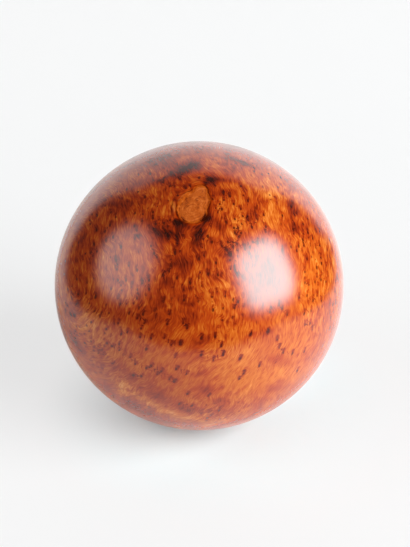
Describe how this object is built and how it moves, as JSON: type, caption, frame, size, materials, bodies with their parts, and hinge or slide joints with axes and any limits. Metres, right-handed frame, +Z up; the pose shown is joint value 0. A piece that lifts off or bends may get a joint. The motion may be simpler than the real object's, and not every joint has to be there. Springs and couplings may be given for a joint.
{
  "type": "wooden ball",
  "caption": "Solid turned ball of polished burl wood with an old knot patch near its top, for use as a desk ornament, paperweight or hand-held ball.",
  "frame": {"origin": "the ball's centre", "axes": "+Z up with the knot patch above the equator, +X to the right and -Y towards the viewer as the picture shows the ball"},
  "size_m": [0.1, 0.1, 0.1],
  "materials": {
    "burl_wood": "red-brown to orange burl with dark eyes, sanded and polished to a satin gloss"
  },
  "bodies": {
    "root": {"ball": "burl_wood"}
  },
  "joints": []
}
